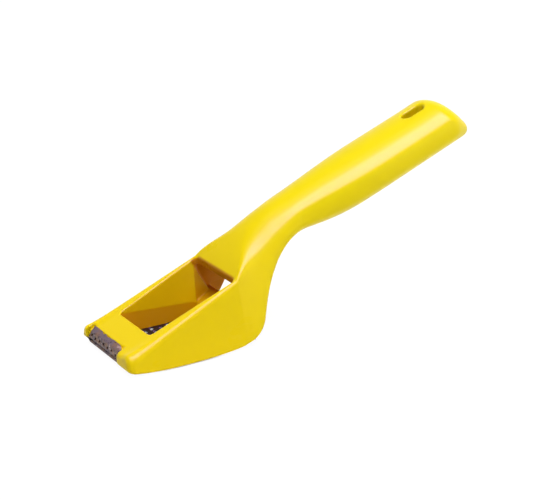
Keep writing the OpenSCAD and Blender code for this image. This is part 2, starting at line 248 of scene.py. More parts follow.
def bezier(points, count):
    # cubic curve through the first and the last of four points
    t = np.linspace(0, 1, count)[:, None]
    a, b, c, d = np.array(points, float)
    return (1 - t)**3*a + 3*(1 - t)**2*t*b + 3*(1 - t)*t*t*c + t**3*d


def line(first, last, count):
    t = np.linspace(0, 1, count)[:, None]
    return (1 - t)*np.array(first, float) + t*np.array(last, float)


def ease(t):
    # smooth step from 0 to 1
    t = np.clip(t, 0, 1)
    return t*t*(3 - 2*t)


def share(t, span):
    # share of the way from the span's first value to its last, 0 before it and 1 beyond
    return np.clip((t - span[0])/(span[1] - span[0]), 0, 1)


def both(a, b, radius):
    # overlap of two solids given by their distances, the edge they share rounded to the radius
    outside = np.hypot(np.maximum(a + radius, 0), np.maximum(b + radius, 0))
    return np.minimum(np.maximum(a, b), -radius) + outside


def rise(degrees):
    return math.tan(math.radians(degrees))


blade = {
    "width": 41.3, "thickness": 0.6, "start": 0.25, "end": 57.8,
    "startRight": 1.75,                          # where the sheet starts on the right, behind the nose's lip
    "corners": (2.0, 0.6), "cornerSpan": (5.5, 2.5),    # cut off its front corners, right and left
    "curl": 1.4, "curlLength": 3.5,              # from the hook on, how far the front edge is bent down
    "curlLess": 0.75, "curlLessSpan": (16.0, 18.0),     # and by how much less at its left end
    "rowPitch": 3.8, "toothPitch": 4.0, "rows": 13, "columns": 9, "firstHole": 6.1,
    "holeLength": 1.5, "holeWidth": 2.4, "lip": 0.7, "lipFade": 1.7, "rings": 5,
    "hookWidth": 26.0, "hookY": 3.6, "hookReach": 2.9,
    "hookBlend": (0.3, 0.8), "frontLength": 2.0,        # right of it the sheet's front edge goes back
    "flangeWidth": 16.0, "flangeZ": 8.6, "flangeSlot": 4.5, "flangeSlotZ": 4.6, "flangeBend": 1.0,
}
hookRight = blade["hookY"] - blade["hookWidth"]/2

# Body: one moulding, as a distance field. A section runs from the underside to the top, upright at the
# nose and square to the handle at its end. In it the head is a box with leaning sides and rounded
# shoulders, the handle is an oval, and the neck goes smoothly from one to the other. A span gives where
# something starts and where it is full, along x unless its note says otherwise, and a guide how far a
# curve's guide point is from its end.
body = {
    # nose and rim
    "front": -10.0,      # where the lines of top and underside start, before the nose cuts them
    "noseHeight": 4.4, "noseWidth": 43.0, "rimSlope": 23.5, "rimWidth": 36.0, "rimPower": 0.6,
    "noseFront": 0.8, "noseCorner": 3.2, "noseEdge": 1.5,    # beyond the hook's face, and its roundings
    "noseHorn": 1.3, "hornFade": 6.0, "hornSpan": (13.0, 19.0),    # its corners above the deck, span across
    "noseLip": 0.65, "noseLipSpan": (30.0, 5.0),     # how far the nose comes down in front of the blade
    "skirt": 0.5, "skirtSpan": (58.0, 48.0),         # and the cheeks beside it
    # roundings of the head: shoulders, feet, and the edges of the throat
    "shoulder": 2.0, "noseShoulder": 2.4, "noseShoulderFade": 11.0,    # more at the nose, fading behind it
    "neckShoulder": 10.0, "neckShoulderOver": 18.0,                    # and more from the roof to the neck
    "foot": 0.5, "heelFoot": 1.2, "heelFootSpan": (50.0, 58.0),
    "edge": 0.6, "edgeMore": 0.5, "edgeMoreSpan": (13.0, 50.0),
    "roofEdge": 0.5, "roofEdgeSpans": ((44.0, 50.0), (20.0, 23.0), (15.5, 12.5)),    # less there, in x, z and y
    "rearEdge": 1.3, "rearEdgeX": 58.0,
    # heel, roof and neck
    "heelX": 65.9, "heelRadius": 14.8, "heelLean": 30.3, "heelGuide": 8.3,
    "neck": (74.8, 25.7), "neckGuides": ((2.5, 3.6), (1.2, 1.8)),    # on the underside, and back and on from it
    "roofBend": 29.2, "roofGuide": 14.6,
    "waistX": 87.0, "waistZ": 53.1, "waistUnder": 36.2, "waistBend": 2.7, "waistGuides": (12.0, 10.0),
    "underGuides": ((-6.0, -0.3), (5.0, 0.8), (13.0, 1.6)),    # before, at and after the waist's underside
    "neckX": 76.6, "neckWidth": 20.4, "neckPower": 0.56,     # narrowest along the top
    "waistWidth": 26.7, "footPower": 1.15, "waistHeight": 0.4,    # width that the underside reaches there
    # handle
    "gripX": 118.0, "gripZ": 66.1, "gripSlope": 20.8, "gripWidth": 29.9, "gripFull": 4.0, "gripUnderFull": 18.0,
    "gripThickness": 23.7, "gripGuides": (10.0, 9.0), "gripUnderX": 4.0, "gripUnderBend": 0.4,
    "gripLength": 28.0, "endGuides": ((38.0, 0.0), (46.0, -0.9), (66.0, 0.4)), "endUnder": (68.0, 1.0),
    "ovalPower": 2.0, "boxPower": 5.4, "boxFade": 8.0, "boxFadePower": 1.5,    # squarer behind the roof
    "ovalStart": 1.0, "ovalOver": 14.0,
    "endX": 178.7, "endZ": 68.0, "endTilt": 49.2, "endRadius": 4.5, "endCorner": 6.4, "endHalf": 13.7,
    "endCrown": 0.009, "endFlare": 9.0, "endFlareStart": 6.0, "endFlareOver": 18.0, "endLength": 35.0,
    "slotX": 150.6, "slotLength": 10.6, "slotWidth": 5.2, "slotEdge": 1.0,
    # throat, with ledges beside it, the bar behind it, and the recess under the roof
    "deckLength": 12.8, "throatLength": 38.0, "throatCorner": 1.6, "roofCorner": 2.2, "innerEdge": 0.7,
    "ledgeWidth": 26.6, "ledgeFront": 9.4, "ledgeRear": 6.9, "wallLean": 0.128, "windowFlare": 0.41,
    "barX": 49.0, "barLength": 8.4, "barHeight": 11.2, "barEdges": (0.6, 0.8), "rampRise": 0.65,
    "recessFoot": 6.6, "recessTop": 0.8, "recessCorner": 1.2, "cheek": 3.2,    # its front slants over the bar
    "passageStart": 1.0, "passageLow": 0.3,
    "roofThickness": 2.7, "roofRise": (-0.4, 1.6, 2.6), "roofEnd": 100.0,
    # seat of the blade, and the notch of its hook
    "seatDepth": 0.75, "seatWidth": 41.6, "seatEnd": 63.0, "seatStart": 1.5, "seatEdge": 0.1,
    "seatLeft": 3.0, "seatLeftSpan": (3.0, 2.0),         # wider at the left front
    "seatRight": 1.8, "seatRightSpan": (5.5, 2.5),       # narrower at the right front
    "relief": 0.5, "reliefLength": 4.6, "reliefSpan": (17.2, 16.7),    # deeper in front, span across
    "notchGap": 0.15, "notchStart": 1.1, "notchDepth": 0.8,
    "notchEdge": 0.25, "notchRightEdge": 0.9, "notchRightStart": 2.0, "notchRightOver": 1.5,
    # lines of the grid that the skin is taken from: stops and steps along each axis
    "gridX": ((-1.5, 66, 178), (0.5, 1.0)),
    "gridY": ((-23.4, 23.4), (0.52,)),
    "gridZ": ((-4, 30, 86), (0.5, 0.8)),
    "shadingStep": 0.6,
}
# A difference taken across a slanting face is more than the distance to it, so it is multiplied by these.
slants = {"side": 0.97, "over": 0.9, "beneath": 0.97, "oval": 0.92, "wall": 0.97, "inner": 0.98, "recess": 0.8,
          "ramp": 0.84}
roofX = body["deckLength"] + body["throatLength"]


def rimZ(x):
    return body["noseHeight"] + x*rise(body["rimSlope"])


roofZ = rimZ(roofX)
ceiling = roofZ - body["roofThickness"]
gripX = body["gripX"]
gripRise = rise(body["gripSlope"])
waistRise = rise(body["gripSlope"] + body["waistBend"])
roofRise = rise(body["rimSlope"] + body["roofBend"])


def gripTop(x, below=0.0):
    # a point on the grip's top line, or below it
    return [x, body["gripZ"] + (x - gripX)*gripRise - below]


def topLine():
    # the top, seen from the side: rim, neck, waist, and grip with its end
    wx, wz, front = body["waistX"], body["waistZ"], body["front"]
    roof, (before, after) = body["roofGuide"], body["waistGuides"]
    straight = gripX + body["gripLength"]
    ends = [gripTop(gripX + x, below) for x, below in body["endGuides"]]
    return [
        line([front, rimZ(front)], [roofX, roofZ], 80),
        bezier([[roofX, roofZ], [roofX + roof, roofZ + roof*roofRise],
                [wx - before, wz - before*waistRise], [wx, wz]], 80),
        bezier([[wx, wz], [wx + after, wz + after*waistRise],
                gripTop(gripX - body["gripGuides"][0]), gripTop(gripX)], 40),
        np.vstack([line(gripTop(gripX), gripTop(straight), 30), bezier([gripTop(straight), *ends], 30)[1:]]),
    ]


def heelArc():
    # the heel's arc touches the sole's arc from inside and ends where it leans as the heel does
    radius = body["heelRadius"]
    x = body["heelX"] - radius
    z = soleMid - math.sqrt((sole["radius"] - radius)**2 - (x - sole["lowX"])**2)
    start = math.atan2(z - soleMid, x - sole["lowX"])
    turn = np.linspace(start, -math.radians(body["heelLean"]), 20)
    return np.stack([x + radius*np.cos(turn), z + radius*np.sin(turn)], -1)


def underLine():
    # the underside, seen from the side: sole, heel and neck, waist, and grip
    wx, underZ, thick = (body[k] for k in ("waistX", "waistUnder", "gripThickness"))
    lean, neck, guide = math.radians(body["heelLean"]), np.array(body["neck"]), body["heelGuide"]
    heel, (back, on) = heelArc(), np.array(body["neckGuides"])
    before, waist, after = ([wx + x, underZ + z] for x, z in body["underGuides"])
    grip = gripTop(gripX + body["gripUnderX"], thick)
    along = np.linspace(body["front"], heel[0, 0], 160)
    lip, skirt = (body[k]*ease(share(along, body[k + "Span"])) for k in ("noseLip", "skirt"))
    return [
        np.stack([along, soleZ(along) - lip - skirt], -1),
        np.vstack([heel,
                   bezier([heel[-1], heel[-1] + [guide*math.sin(lean), guide*math.cos(lean)],
                           neck - back, neck], 30)[1:],
                   bezier([neck, neck + on, before, waist], 40)[1:]]),
        bezier([waist, after, gripTop(gripX - body["gripGuides"][1], thick + body["gripUnderBend"]), grip], 40),
        line(grip, gripTop(gripX + body["endUnder"][0], thick - body["endUnder"][1]), 60),
    ]


def paired(stretches, count=101):
    # each stretch read at the same number of steps, so that point i of the top faces point i below
    steps = np.linspace(0, 1, count)
    parts = [np.stack([np.interp(steps, np.linspace(0, 1, len(s)), s[:, k]) for k in (0, 1)], -1)
             for s in stretches]
    return np.vstack([p[:-1] for p in parts[:-1]] + [parts[-1]])


def topHalf(x):
    # half the width along the top: nose, rim, neck and grip
    nose, rim, neck, grip, nx = (body[k] for k in ("noseWidth", "rimWidth", "neckWidth", "gripWidth", "neckX"))
    head = nose + (rim - nose)*np.clip(x/roofX, 0, 1)**body["rimPower"]
    narrow = rim + (neck - rim)*ease(share(x, (roofX, nx))**body["neckPower"])
    handle = neck + (grip - neck)*ease(share(x, (nx, gripX + body["gripFull"])))
    return np.where(x < roofX, head, np.where(x < nx, narrow, handle))/2


def lowerHalf(x, z):
    # half the width along the underside: it narrows with the height up to the waist, then widens to the grip
    wx, waist = body["waistX"], body["waistWidth"]
    upToWaist = np.clip(z/(body["waistUnder"] + body["waistHeight"]), 0, 1)
    foot = sole["width"] + (waist - sole["width"])*upToWaist**body["footPower"]
    handle = waist + (body["gripWidth"] - waist)*ease(share(x, (wx, gripX + body["gripUnderFull"])))
    return np.where(x > wx, handle, foot)/2


def sectionFields(x, z):
    # The section through (x, z) is found by halving, on the side of the line from underside to top.
    # Gives its height, the share of it at (x, z), the half width there, and where its two ends are.
    top, under = paired(topLine()), paired(underLine())
    steps = np.arange(len(top))
    low, high = np.zeros_like(x), np.full_like(x, len(top) - 1.0)
    for halving in range(24):
        middle = (low + high)/2
        tx, tz, ux, uz = (np.interp(middle, steps, c) for c in (*top.T, *under.T))
        behind = (tx - ux)*(z - uz) - (tz - uz)*(x - ux) < 0
        low, high = np.where(behind, middle, low), np.where(behind, high, middle)
    height = np.hypot(tx - ux, tz - uz)
    up = ((x - ux)*(tx - ux) + (z - uz)*(tz - uz))/height**2
    upper, lower = topHalf(tx), lowerHalf(ux, uz)
    return np.stack([height, up, lower + (upper - lower)*np.clip(up, -0.2, 1.2), tx, ux])


fieldStep = 0.3
fieldX = np.arange(-3, 180, fieldStep)
fieldZ = np.arange(-4, 90, fieldStep)
fields = sectionFields(*np.meshgrid(fieldX, fieldZ, indexing="ij"))


def readFields(x, z):
    # the section fields between their grid points, in proportion to the distance on each side
    i = np.clip((x - fieldX[0])/fieldStep, 0, len(fieldX) - 1.001)
    j = np.clip((z - fieldZ[0])/fieldStep, 0, len(fieldZ) - 1.001)
    i0, j0 = i.astype(int), j.astype(int)
    u, v = i - i0, j - j0
    near = fields[:, i0, j0]*(1 - v) + fields[:, i0, j0 + 1]*v
    far = fields[:, i0 + 1, j0]*(1 - v) + fields[:, i0 + 1, j0 + 1]*v
    return near*(1 - u) + far*u


def bodyOutside(x, y, z):
    # the head is cut by its top, its underside and its sides, the handle by its oval, then nose and end follow
    ya = np.abs(y)
    height, up, half, topX, underX = readFields(x, z)
    side = (ya - half)*slants["side"]
    horn = body["noseHorn"]*np.exp(-np.maximum(x, 0)/body["hornFade"])*ease(share(ya, body["hornSpan"]))
    over, beneath = (up - 1)*height*slants["over"] - horn, -up*height*slants["beneath"]
    shoulder = body["shoulder"] + body["noseShoulder"]*np.exp(-np.maximum(topX, 0)/body["noseShoulderFade"])
    shoulder = shoulder + body["neckShoulder"]*ease((topX - roofX)/body["neckShoulderOver"])
    foot = body["foot"] + body["heelFoot"]*ease(share(underX, body["heelFootSpan"]))
    head = np.maximum(both(over, side, shoulder), both(beneath, side, foot))
    boxed = np.exp(-(np.maximum(topX - roofX, 0)/body["boxFade"])**body["boxFadePower"])
    power = body["ovalPower"] + body["boxPower"]*boxed
    oval = (np.abs(2*up - 1)**power + (ya/half)**power)**(1/power) - 1
    oval = oval*np.minimum(height/2, half)*slants["oval"]
    form = head + (oval - head)*ease((topX - roofX - body["ovalStart"])/body["ovalOver"])
    form = both(form, both(-x - body["noseFront"], side, body["noseCorner"]), body["noseEdge"])
    tilt, endX = math.radians(body["endTilt"]), body["endX"]
    flat = (x - endX)*math.cos(tilt) + (z - body["endZ"])*math.sin(tilt) + body["endCrown"]*y*y
    flare = body["endFlare"]*ease((endX - body["endFlareStart"] - x)/body["endFlareOver"])
    end = both(flat, ya - body["endHalf"] - flare, body["endCorner"])
    return np.where(x > endX - body["endLength"], both(form, end, body["endRadius"]), form)


def ledgeZ(x):
    return np.interp(x, [body["deckLength"], body["barX"]], [body["ledgeFront"], body["ledgeRear"]])


def recessX(z):
    # the slanting front of the recess, from over the bar forward to the ceiling
    barX = body["barX"]
    return np.interp(z, [body["barHeight"], ceiling], [barX + body["recessFoot"], barX - body["recessTop"]])


def bodyHollow(x, y, z):
    # the throat with its ledge and window, and behind a slanting plane the wider recess under the roof
    ya, barX, corner = np.abs(y), body["barX"], body["recessCorner"]
    ledge, slant = ledgeZ(x), recessX(z)
    lean = np.where(z > ledge, body["wallLean"], -body["windowFlare"])
    wall = (ya - body["ledgeWidth"]/2 - (z - ledge)*lean)*slants["wall"]
    shaft = both(body["deckLength"] - x, wall, body["throatCorner"])
    inner = readFields(x, z)[2] - body["cheek"]
    roof = np.interp(x, [barX - body["recessTop"], body["heelX"], body["roofEnd"]],
                     [ceiling + up for up in body["roofRise"]])
    recess = both((slant - x)*slants["recess"], (ya - inner)*slants["inner"], corner)
    recess = both(recess, z - roof, corner)
    passage = np.maximum(np.maximum(shaft, (x - slant - body["passageStart"])*slants["recess"]),
                         z - roof - body["passageLow"])
    hollow = np.minimum(np.minimum(both(shaft, x - roofX, body["roofCorner"]), passage), recess)
    ramp = (z - body["ledgeRear"] - (x - barX)*body["rampRise"])*slants["ramp"]
    bar = both(both(barX - x, ramp, body["barEdges"][0]), x - barX - body["barLength"], body["barEdges"][1])
    return both(hollow, -bar, body["innerEdge"])


def bodyCuts(x, y, z):
    # the blade's seat, its hook's notch over the nose, and the hang slot
    ya, gap = np.abs(y), body["notchGap"]
    fromMid = np.hypot(x - sole["lowX"], z - soleMid)
    relief = body["relief"]*np.clip((body["reliefLength"] - x)/body["reliefLength"], 0, 1.2)
    deep = body["seatDepth"] + relief*share(y, body["reliefSpan"])
    front = np.minimum(body["seatStart"] - x, hookRight - gap - y)
    wider = body["seatLeft"]*share(x, body["seatLeftSpan"])
    narrower = body["seatRight"]*share(x, body["seatRightSpan"])
    side = ya - body["seatWidth"]/2 + np.where(y > 0, -wider, narrower)
    seat = np.maximum(np.maximum(sole["radius"] - deep - fromMid, side), np.maximum(x - body["seatEnd"], front))
    span = np.abs(y - blade["hookY"]) - blade["hookWidth"]/2 - gap
    onDeck = np.maximum(rimZ(x) - body["notchDepth"] - z, x - blade["hookReach"])
    notch = np.maximum(span, np.minimum(x - body["notchStart"], onDeck))
    straight = (body["slotLength"] - body["slotWidth"])/2
    slot = np.hypot(np.maximum(np.abs(x - body["slotX"]) - straight, 0), y) - body["slotWidth"]/2
    return seat, notch, slot


def bodyField(points):
    # The outside less the hollow and the cuts. The throat's edge is rounder to the rear and thin at the roof.
    x, y, z = points.T
    edge = body["edge"] + body["edgeMore"]*share(x, body["edgeMoreSpan"])
    thinX, thinZ, thinY = (share(t, span) for t, span in zip((x, z, np.abs(y)), body["roofEdgeSpans"]))
    edge -= body["roofEdge"]*thinX*thinZ*thinY
    edge = np.where(x > body["rearEdgeX"], body["rearEdge"], edge)
    form = both(bodyOutside(x, y, z), -bodyHollow(x, y, z), edge)
    seat, notch, slot = bodyCuts(x, y, z)
    rightward = np.clip((hookRight + body["notchRightStart"] - y)/body["notchRightOver"], 0, 1)
    corner = body["notchEdge"] + body["notchRightEdge"]*rightward
    return both(both(both(form, -seat, body["seatEdge"]), -notch, corner), -slot, body["slotEdge"])


# Painted shade that darkens the hollow's colour, and a painted glow on its walls
shades = {
    "wall": 0.17, "below": 0.3, "ramp": 0.6, "recess": 0.9,
    "skin": 1.3, "skinDepth": 0.35,      # the painted shade and glow are full near the hollow's face and fade from it
    "limit": 0.3, "recessLimit": 0.8,    # half the width of the limit at ledge and bar, and that of the recess
    "recessRise": 2.0,
    "throughWall": 0.3, "throughLength": 2.0,    # the painted glow's share above the ledge, and how far it fades before the recess
}


def shadeOf(points):
    # How much painted shade a point gets in the hollow: none outside, some on the walls, more below the ledge
    # and on the ramp, and all of it in the recess under the roof. Then how much painted glow it gets there,
    # standing in for light through the wall.
    x, y, z = points.T
    limit, behind = shades["limit"], x - recessX(z)
    inside = np.clip(shades["skin"] - np.abs(bodyHollow(x, y, z))/shades["skinDepth"], 0, 1)
    below = ease((ledgeZ(x) + limit - z)/(2*limit))
    ramp = ease((x - body["barX"] + limit)/(2*limit))
    recess = shades["recess"]*ease(behind/shades["recessLimit"] + 0.5)
    recess = recess*ease((z - body["ledgeRear"])/shades["recessRise"])
    # painted shade: the greatest of its parts at each point
    shade = np.maximum(shades["below"]*below, shades["ramp"]*ramp)
    shade = np.maximum(shade, np.maximum(recess, shades["wall"]))
    # painted glow: some on the walls above the ledge, full below it
    through = shades["throughWall"] + (1 - shades["throughWall"])*below
    return inside*shade, inside*through*(1 - ramp)*ease(-behind/shades["throughLength"])


def skinOf(field, xs, ys, zs):
    # Skin of a field on a grid of cells: each cell that the surface crosses gets one point, the mean of
    # the crossings on its edges, and each grid edge that is crossed gets a face between its four cells.
    shape = (len(xs), len(ys), len(zs))
    slab = 24       # grid planes worked out at a time
    values = np.empty(shape, np.float32)
    for i in range(0, shape[0], slab):
        block = np.stack(np.meshgrid(xs[i:i + slab], ys, zs, indexing="ij"), -1)
        values[i:i + slab] = field(block.reshape(-1, 3)).reshape(block.shape[:3])
    axes = (xs, ys, zs)
    cells = np.zeros([n - 1 for n in shape] + [3])
    hits = np.zeros([n - 1 for n in shape])
    crossed = []
    for axis in range(3):
        a = np.take(values, range(shape[axis] - 1), axis)
        b = np.take(values, range(1, shape[axis]), axis)
        spots = np.argwhere((a < 0) != (b < 0))
        va, vb = a[tuple(spots.T)], b[tuple(spots.T)]
        places = np.stack([axes[k][spots[:, k]] for k in range(3)], -1)
        places[:, axis] += np.diff(axes[axis])[spots[:, axis]]*va/(va - vb)
        around = []
        for du, dv in ((0, 0), (-1, 0), (-1, -1), (0, -1)):
            cell = spots.copy()
            cell[:, [k for k in range(3) if k != axis]] += (du, dv)
            np.add.at(cells, tuple(cell.T), places)
            np.add.at(hits, tuple(cell.T), 1)
            around.append(tuple(cell.T))
        crossed.append((around, (va < 0) != (axis == 1)))
    number = -np.ones(hits.shape, int)
    number[hits > 0] = np.arange((hits > 0).sum())
    points = cells[hits > 0]/hits[hits > 0][:, None]
    faces = []
    for around, turned in crossed:
        quads = np.stack([number[cell] for cell in around], -1)
        faces.append(np.where(turned[:, None], quads, quads[:, ::-1]))
    return points, np.vstack(faces)


def slopeOf(field, points, step):
    # the field's slope at each point, from the values half a step to each side
    sides = [field(points + k) - field(points - k) for k in np.eye(3)*step/2]
    return np.stack(sides, -1)/step


def settled(field, points, rounds=3, step=0.1, flattest=0.2, farthest=0.35):
    # points moved down the field's slope until they lie on its surface
    for turn in range(rounds):
        slope = slopeOf(field, points, step)
        steep = np.maximum((slope**2).sum(-1), flattest)
        move = slope*(field(points)/steep)[:, None]
        length = np.linalg.norm(move, axis=-1, keepdims=True)
        points = points - move*np.minimum(1, farthest/np.maximum(length, 1e-9))
    return points


def makePiece(name, points, faces, material):
    mesh = bpy.data.meshes.new(name)
    mesh.from_pydata(toFrame(points).tolist(), [], np.asarray(faces).tolist())
    mesh.polygons.foreach_set("use_smooth", [True]*len(mesh.polygons))
    mesh.materials.append(material)
    mesh.validate()
    piece = bpy.data.objects.new(name, mesh)
    bpy.context.collection.objects.link(piece)
    return piece


def spaced(stops, steps):
    # grid lines from stop to stop, at the step given for each stretch
    parts = [np.linspace(a, b, max(2, round((b - a)/s)), endpoint=False)
             for a, b, s in zip(stops, stops[1:], steps)]
    return np.concatenate(parts + [[stops[-1]]])


print("body")
points, faces = skinOf(bodyField, *(spaced(*body[k]) for k in ("gridX", "gridY", "gridZ")))
points = settled(bodyField, points)
bodyPiece = makePiece("bodyMoulding", points, faces, plastic)
# the painted shade and painted glow are stored on the skin's points
for name, values in zip(("shade", "through"), shadeOf(points)):
    bodyPiece.data.attributes.new(name, "FLOAT", "POINT").data.foreach_set("value", values)
slopes = slopeOf(bodyField, points, body["shadingStep"])    # the skin is shaded by the field's own slope
bodyPiece.data.normals_split_custom_set_from_vertices(slopes/np.linalg.norm(slopes, axis=-1, keepdims=True))
print("body triangles", 2*len(faces))
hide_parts("body")
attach(bodyPiece, "frame")


# Blade
def sheetPoint(x, y, drop):
    # a point of the sheet's middle at arc place x, moved drop along the arc's radius
    angle = (x - sole["lowX"])/sole["radius"]
    radius = sole["radius"] - blade["thickness"] + drop
    return np.stack([sole["lowX"] + radius*np.sin(angle), y + 0*x, soleMid - radius*np.cos(angle)], -1)


def ringCells(middles, pitch, hole, rings):
    # Each cell of a punched sheet is a ring of points from the edge of its hole, a rounded rectangle, to
    # the cell's own straight edges. Gives the places along and across, the share of the way from the
    # hole to the cell's edge, how far each direction faces the cell's front, and the faces.
    side, power = 6, 3.2                  # points along a cell's side, and how square the hole is
    frontMore, frontPower = 0.25, 0.7     # how far round the hole the front reaches, and how it falls off
    t = np.linspace(-1, 1, side, endpoint=False)
    square = np.concatenate([np.stack([t, t*0 - 1], -1), np.stack([t*0 + 1, t], -1),
                             np.stack([-t, t*0 + 1], -1), np.stack([t*0 - 1, -t], -1)])
    angle = np.arctan2(square[:, 1], square[:, 0])
    norm = (np.abs(np.cos(angle))**power + np.abs(np.sin(angle))**power)**(-1/power)
    inner = np.stack([norm*np.cos(angle)*hole[0]/2, norm*np.sin(angle)*hole[1]/2], -1)
    outer = square*[pitch[0]/2, pitch[1]/2]
    out = np.linspace(0, 1, rings)[:, None]
    ring = inner*(1 - out[..., None]) + outer*out[..., None]
    around = np.arange(4*side)
    step = np.roll(around, -1)
    one = np.concatenate([np.stack([around + k*4*side, step + k*4*side, step + (k + 1)*4*side,
                                    around + (k + 1)*4*side], -1) for k in range(rings - 1)])
    faces = (np.arange(len(middles))[:, None, None]*rings*4*side + one).reshape(-1, 4)
    places = middles[:, None, None, :] + ring
    shape = places.shape[:3]
    front = np.clip(-np.cos(angle) + frontMore, 0, 1)**frontPower
    return places[..., 0], places[..., 1], np.broadcast_to(out, shape), np.broadcast_to(front, shape), faces


def gridFaces(shape):
    # faces between the points of a grid of lines
    index = np.arange(shape[0]*shape[1]).reshape(shape)
    return np.stack([index[:-1, :-1], index[1:, :-1], index[1:, 1:], index[:-1, 1:]], -1).reshape(-1, 4)


def toothedSheet():
    # Rows of teeth, every second one moved half a pitch. Round the front half of each hole the sheet is
    # pressed down into a lip, which falls off towards the cell's edge. The outer cells reach the sheet's
    # edges. On the right the front edge stays behind the nose's lip, and from the hook on it curls down.
    rows, columns, pitch = blade["rows"], blade["columns"], (blade["rowPitch"], blade["toothPitch"])
    middles = np.array([(blade["firstHole"] + row*pitch[0], (column - (columns - 1 - row % 2)/2)*pitch[1])
                        for row in range(rows) for column in range(columns - row % 2)])
    hole = (blade["holeLength"], blade["holeWidth"])
    x, y, out, front, faces = ringCells(middles, pitch, hole, blade["rings"])
    drop = blade["lip"]*front*(1 - out)**blade["lipFade"]
    slack = 0.01       # for points that lie on an edge
    first, last = middles[:, 0].min() - pitch[0]/2 + slack, middles[:, 0].max() + pitch[0]/2 - slack
    wide = (columns - 1)*pitch[1]/2 - slack
    edge = (out > 0.99) & (np.abs(y) > wide) & (np.abs(y - middles[:, None, None, 1]) > pitch[1]/2 - slack)
    x = np.where(x < first, blade["start"], np.where(x > last, blade["end"], x))
    cut = np.where(y < 0, *blade["corners"])*share(x, blade["cornerSpan"])
    y = np.where(edge, np.sign(y)*(blade["width"]/2 - cut), y)
    hooked = ease((y - hookRight + blade["hookBlend"][0])/blade["hookBlend"][1])
    right = blade["startRight"]
    x = np.where(x < blade["frontLength"], right + (x - right)*hooked, x)
    less = 1 - blade["curlLess"]*ease(share(y, blade["curlLessSpan"]))
    curl = blade["curl"]*hooked*less*np.clip(1 - x/blade["curlLength"], 0, 1)**2
    return sheetPoint(x, y, drop + curl).reshape(-1, 3), faces


hook = {
    # the strip's ends across, at places along it: up the nose and then over the deck, and its ragged end
    "along": (0.0, 2.2, 3.8, 4.5, 4.7, 4.95, 5.3, 6.8),
    "right": (-9.0, -9.2, -9.4, -9.7, -11.0, -11.6, -9.7, -9.5),
    "left": (19.0, 16.0, 14.7, 14.9, 14.9, 15.0, 15.2, 16.2),
    "across": (0.0, 0.052, 0.088, 0.14, 0.30, 0.436, 0.504, 0.576, 0.604, 0.636, 0.656, 0.72, 0.74, 1.0),
    "reach": (0.9, 1.7, 2.1, 2.3, 2.3, 2.05, 1.7, 1.95, 2.4, 1.6, 1.6, 2.1, 2.35, 2.5),
    "face": 4.2, "columns": 7, "hole": (1.1, 1.3), "rings": 6, "lip": 0.3, "lipFade": 1.5,
    "wander": (-0.3, 0.5, 0.2, 0.7, 0.5, 0.1, 0.8),      # how far each hole is off the row's middle
    "plain": 0.2, "lines": 9,      # length before the ragged part, and the lines of points over the deck
}


def hookPoint(along, across, lift):
    # A place on the hook's strip, lifted outwards. The strip's line leaves the sheet, goes up the nose's
    # face, bends over its edge and lies a little sunk along the deck.
    t = blade["thickness"]
    top = rimZ(t) - 0.55*t
    path = np.array([[1.3, soleZ(1.3) + t], [0.8, 0.85], [t, 1.1], [t, top - 0.5], [t + 0.12, top - 0.15],
                     [t + 0.4, top + 0.02], [6.0, rimZ(6.0) - 0.25*t]])
    length = np.concatenate([[0], np.cumsum(np.hypot(*np.diff(path, axis=0).T))])
    x, z = (np.interp(along, length, path[:, k]) for k in (0, 1))
    right, left = (np.interp(along, hook["along"], hook[k]) for k in ("right", "left"))
    return np.stack([x - lift, right + (left - right)*across, z], -1)


def hookPlate():
    # one row of punched cells up the nose, then a plain stretch that ends at the ragged edge
    face, columns, width = hook["face"], hook["columns"], blade["hookWidth"]
    middles = np.stack([np.full(columns, face/2), (np.arange(columns) + 0.5)*width/columns], -1)
    along, y, out, front, faces = ringCells(middles, (face, width/columns), hook["hole"], hook["rings"])
    along = along + np.array(hook["wander"])[:, None, None]*(1 - out)
    low = hookPoint(along, y/width, hook["lip"]*front*(1 - out)**hook["lipFade"]).reshape(-1, 3)
    across = np.linspace(0, 1, 6*columns + 1)
    far = face + hook["plain"] + np.interp(across, hook["across"], hook["reach"])
    steps = np.linspace(0, 1, hook["lines"])[:, None]
    high = hookPoint(face + (far - face)*steps, across + 0*steps, 0.0)
    grid = gridFaces((steps.size, across.size))
    return np.vstack([low, high.reshape(-1, 3)]), np.vstack([faces, grid + len(low)])


def flangePlate():
    # The upright end: a plate whose slot is open at the top. Each line runs from the slot's edge, down one
    # side, round and up the other, out to the plate's edge, and the foot bends forward into the sheet.
    radius, wide, bend = blade["flangeSlot"]/2, blade["flangeWidth"]/2, blade["flangeBend"]
    foot, top, slotZ = soleZ(blade["end"]) + blade["thickness"], blade["flangeZ"], blade["flangeSlotZ"]
    turn = np.linspace(0, math.pi, 17)
    inner = np.concatenate([line([-radius, top], [-radius, slotZ], 6)[:-1],
                            np.stack([-radius*np.cos(turn), slotZ - radius*np.sin(turn)], -1),
                            line([radius, slotZ], [radius, top], 6)[1:]])
    outer = np.concatenate([line([-wide, top], [-wide, foot], 6)[:-1], line([-wide, foot], [wide, foot], 17),
                            line([wide, foot], [wide, top], 6)[1:]])
    out = np.linspace(0, 1, 9)[:, None, None]
    y, z = np.moveaxis(inner*(1 - out) + outer*out, -1, 0)
    bent = np.clip((foot + bend - z)/bend, 0, 1)
    x = blade["end"] - bend*(1 - np.sqrt(np.clip(1 - bent**2, 0, 1)))
    return np.stack([x, y, z], -1).reshape(-1, 3), gridFaces(y.shape)


